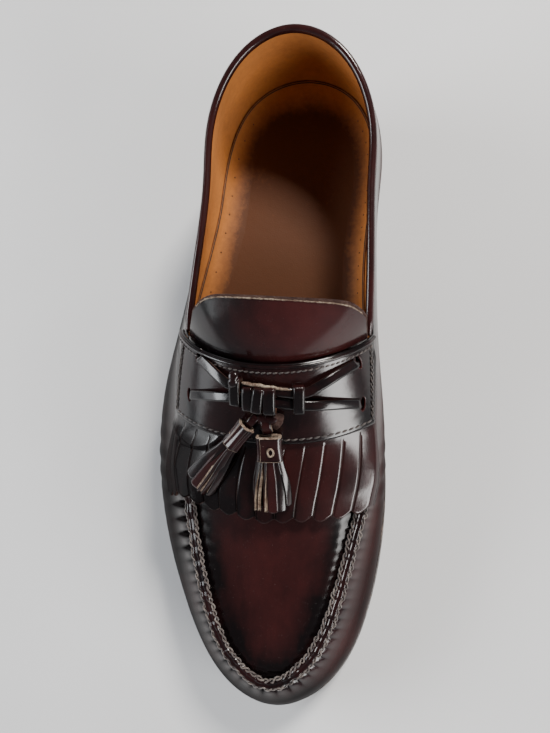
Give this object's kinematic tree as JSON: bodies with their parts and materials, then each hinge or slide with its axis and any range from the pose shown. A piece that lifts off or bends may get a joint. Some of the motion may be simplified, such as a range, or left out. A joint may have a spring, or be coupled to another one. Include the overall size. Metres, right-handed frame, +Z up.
{
  "type": "tassel loafer",
  "caption": "Slip-on dress loafer with a hand-sewn moccasin toe, an instep saddle, a fringed kiltie and a knotted flat lace that carries leather tassels.",
  "frame": {"origin": "middle of the box that the shoe fills, on the floor under it", "axes": "+Z up, the toe along -Y, the heel along +Y, the shoe's medial side along +X"},
  "size_m": [0.1109, 0.3022, 0.1015],
  "materials": {
    "burgundy_leather": "high-gloss brush-off leather, near black at worn edges",
    "lining_leather": "matt tan lining leather",
    "sole_leather": "blackened, waxed edge",
    "welt_leather": "dark waxed strip",
    "heel_stack": "stacked leather, blackened",
    "heel_rubber": "matt rubber"
  },
  "bodies": {
    "root": {"outsole": "sole_leather", "welt": "welt_leather", "heel": "heel_stack", "top_lift": "heel_rubber", "insole": "lining_leather", "upper": "burgundy_leather", "tongue": "burgundy_leather", "saddle": "burgundy_leather", "kiltie": "burgundy_leather", "moc_ridge": "burgundy_leather", "collar_binding": "burgundy_leather", "lace": "burgundy_leather", "keeper_lateral": "burgundy_leather", "keeper_medial": "burgundy_leather", "knot": "burgundy_leather", "tassel_lateral": "burgundy_leather", "tassel_medial": "burgundy_leather"}
  },
  "joints": []
}
